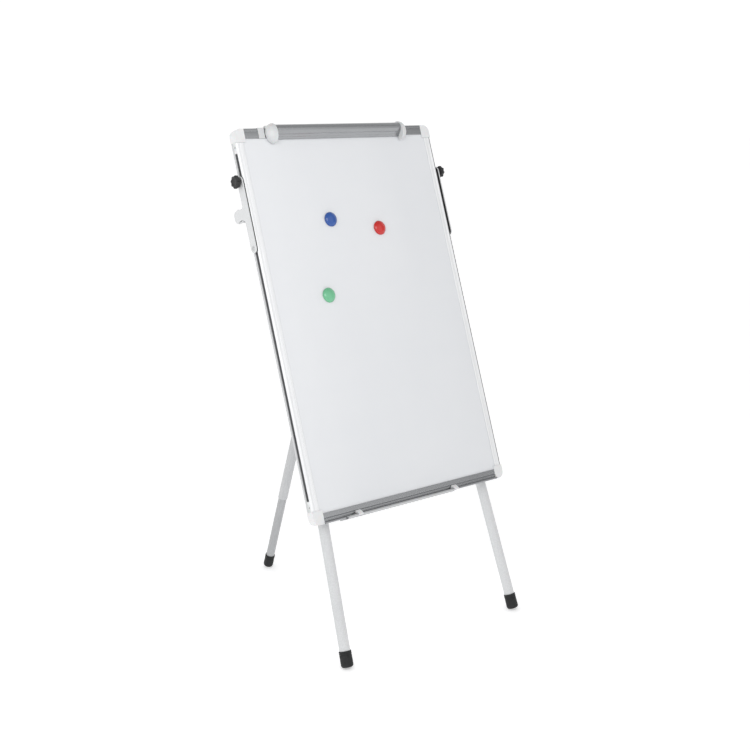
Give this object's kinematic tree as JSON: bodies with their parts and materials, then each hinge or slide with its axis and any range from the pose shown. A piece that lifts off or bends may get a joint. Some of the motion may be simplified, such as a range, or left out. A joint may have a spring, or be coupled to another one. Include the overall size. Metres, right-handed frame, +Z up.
{
  "type": "flipchart easel",
  "caption": "Portable flipchart easel: framed magnetic whiteboard with spring paper clamp and pen tray, on a folding tripod of telescopic tubes with side clamp knobs.",
  "frame": {"origin": "bottom centre of the whole easel's box, on the floor between the three feet", "axes": "+Z up, +X to the right of a reader who stands in front, +Y from the writing side to the rear leg"},
  "size_m": [0.6438, 0.6798, 1.1954],
  "materials": {
    "white_enamel": "gloss lacquered steel sheet",
    "honeycomb_core": "matt",
    "zinc_sheet": "galvanised",
    "silver_aluminium": "bright satin anodised",
    "grey_aluminium": "satin anodised",
    "white_plastic": "semi-gloss moulded",
    "blue_plastic": "gloss",
    "red_plastic": "gloss",
    "green_plastic": "gloss",
    "ferrite": "matt",
    "white_powder_coat": "fine powder coat",
    "grey_powder_coat": "fine powder coat",
    "black_plastic": "moulded, lightly textured",
    "nylon": "natural nylon",
    "bright_steel": "zinc plated",
    "foot_rubber": "moulded matt"
  },
  "bodies": {
    "stand": {"crossbar": "white_powder_coat", "side_plate_left": "white_powder_coat", "side_plate_right": "white_powder_coat", "slot_nut_left": "bright_steel", "slot_nut_right": "bright_steel", "plate_spacer_left": "black_plastic", "plate_spacer_right": "black_plastic", "guide_stud_left": "bright_steel", "guide_stud_right": "bright_steel", "leg_hanger_left": "white_powder_coat", "leg_hanger_right": "white_powder_coat", "leg_pin_left": "bright_steel", "leg_pin_right": "bright_steel", "rear_clevis": "white_powder_coat", "rear_hinge_pin": "bright_steel"},
    "board": {"writing_surface": "white_enamel", "board_core": "honeycomb_core", "backing_sheet": "zinc_sheet", "side_rail_left": "silver_aluminium", "side_rail_right": "silver_aluminium", "top_rail": "grey_aluminium", "bottom_rail": "grey_aluminium", "corner_cap_top_left": "white_plastic", "corner_cap_top_right": "white_plastic", "corner_cap_bottom_left": "white_plastic", "corner_cap_bottom_right": "white_plastic", "clamp_bracket_left": "white_plastic", "clamp_bracket_right": "white_plastic", "clamp_pin_left": "bright_steel", "clamp_pin_right": "bright_steel", "clamp_spring_left": "bright_steel", "clamp_spring_right": "bright_steel", "tray_clip_1": "white_plastic", "tray_clip_2": "white_plastic"},
    "clamp": {"clamp_bar": "grey_aluminium", "clamp_end_cap_left": "white_plastic", "clamp_end_cap_right": "white_plastic"},
    "tray": {"pen_tray": "silver_aluminium"},
    "magnet_blue": {"magnet_cap_blue": "blue_plastic", "magnet_disc_blue": "ferrite"},
    "magnet_red": {"magnet_cap_red": "red_plastic", "magnet_disc_red": "ferrite"},
    "magnet_green": {"magnet_cap_green": "green_plastic", "magnet_disc_green": "ferrite"},
    "knob_left": {"clamp_knob_left": "black_plastic"},
    "knob_right": {"clamp_knob_right": "black_plastic"},
    "front_leg_left": {"front_leg_left_outer_tube": "white_powder_coat"},
    "front_leg_left_lock": {"front_leg_left_twist_lock": "nylon"},
    "front_leg_left_lower": {"front_leg_left_inner_tube": "grey_powder_coat", "front_leg_left_foot": "foot_rubber"},
    "front_leg_right": {"front_leg_right_outer_tube": "white_powder_coat"},
    "front_leg_right_lock": {"front_leg_right_twist_lock": "nylon"},
    "front_leg_right_lower": {"front_leg_right_inner_tube": "grey_powder_coat", "front_leg_right_foot": "foot_rubber"},
    "rear_leg": {"rear_leg_outer_tube": "white_powder_coat"},
    "rear_leg_lock": {"rear_leg_twist_lock": "nylon"},
    "rear_leg_lower": {"rear_leg_inner_tube": "grey_powder_coat", "rear_leg_foot": "foot_rubber"}
  },
  "joints": [
    {"name": "board_height", "type": "slide", "parent": "stand", "child": "board", "axis": [0, 0.309, 0.9511], "range_m": [-0.05, 0.3]},
    {"name": "knob_left_turn", "type": "hinge", "parent": "stand", "child": "knob_left", "pos_m": [-0.3063, -0.00715, 1.06665], "axis": [1, 0, 0], "continuous": true},
    {"name": "knob_right_turn", "type": "hinge", "parent": "stand", "child": "knob_right", "pos_m": [0.3063, -0.00715, 1.06665], "axis": [1, 0, 0], "continuous": true},
    {"name": "clamp_open", "type": "hinge", "parent": "board", "child": "clamp", "pos_m": [0, 0.03161, 1.18592], "axis": [-1, 0, 0], "range_deg": [0, 30], "stiffness_Nm_per_rad": 0.6, "springref_deg": -34.38},
    {"name": "tray_flip", "type": "hinge", "parent": "board", "child": "tray", "pos_m": [0, -0.26826, 0.3242], "axis": [-1, 0, 0], "range_deg": [0, 162]},
    {"name": "magnet_blue_pull", "type": "slide", "parent": "board", "child": "magnet_blue", "axis": [0, -0.9511, 0.309], "range_m": [0, 0.05]},
    {"name": "magnet_red_pull", "type": "slide", "parent": "board", "child": "magnet_red", "axis": [0, -0.9511, 0.309], "range_m": [0, 0.05]},
    {"name": "magnet_green_pull", "type": "slide", "parent": "board", "child": "magnet_green", "axis": [0, -0.9511, 0.309], "range_m": [0, 0.05]},
    {"name": "front_leg_left_swing", "type": "hinge", "parent": "stand", "child": "front_leg_left", "pos_m": [-0.21745, -0.00821, 0.9566], "axis": [0, -0.9511, 0.309], "range_deg": [0, 2.85]},
    {"name": "front_leg_right_swing", "type": "hinge", "parent": "stand", "child": "front_leg_right", "pos_m": [0.21745, -0.00821, 0.9566], "axis": [0, 0.9511, -0.309], "range_deg": [0, 2.85]},
    {"name": "front_leg_left_extend", "type": "slide", "parent": "front_leg_left", "child": "front_leg_left_lock", "axis": [-0.0497, -0.3172, -0.947], "range_m": [-0.24, 0.12]},
    {"name": "front_leg_right_extend", "type": "slide", "parent": "front_leg_right", "child": "front_leg_right_lock", "axis": [0.0497, -0.3172, -0.947], "range_m": [-0.24, 0.12]},
    {"name": "front_leg_left_twist", "type": "hinge", "parent": "front_leg_left_lock", "child": "front_leg_left_lower", "pos_m": [-0.26753, -0.32804, 0.00275], "axis": [-0.0497, -0.3172, -0.947], "range_deg": [0, 90]},
    {"name": "front_leg_right_twist", "type": "hinge", "parent": "front_leg_right_lock", "child": "front_leg_right_lower", "pos_m": [0.26753, -0.32804, 0.00275], "axis": [0.0497, -0.3172, -0.947], "range_deg": [0, 90]},
    {"name": "rear_leg_fold", "type": "hinge", "parent": "stand", "child": "rear_leg", "pos_m": [0, -0.00122, 0.95222], "axis": [-1, 0, 0], "range_deg": [0, 37]},
    {"name": "rear_leg_extend", "type": "slide", "parent": "rear_leg", "child": "rear_leg_lock", "axis": [0, 0.3289, -0.9444], "range_m": [-0.14, 0.12]},
    {"name": "rear_leg_twist", "type": "hinge", "parent": "rear_leg_lock", "child": "rear_leg_lower", "pos_m": [0, 0.32938, 0.00287], "axis": [0, 0.3289, -0.9444], "range_deg": [0, 90]}
  ]
}
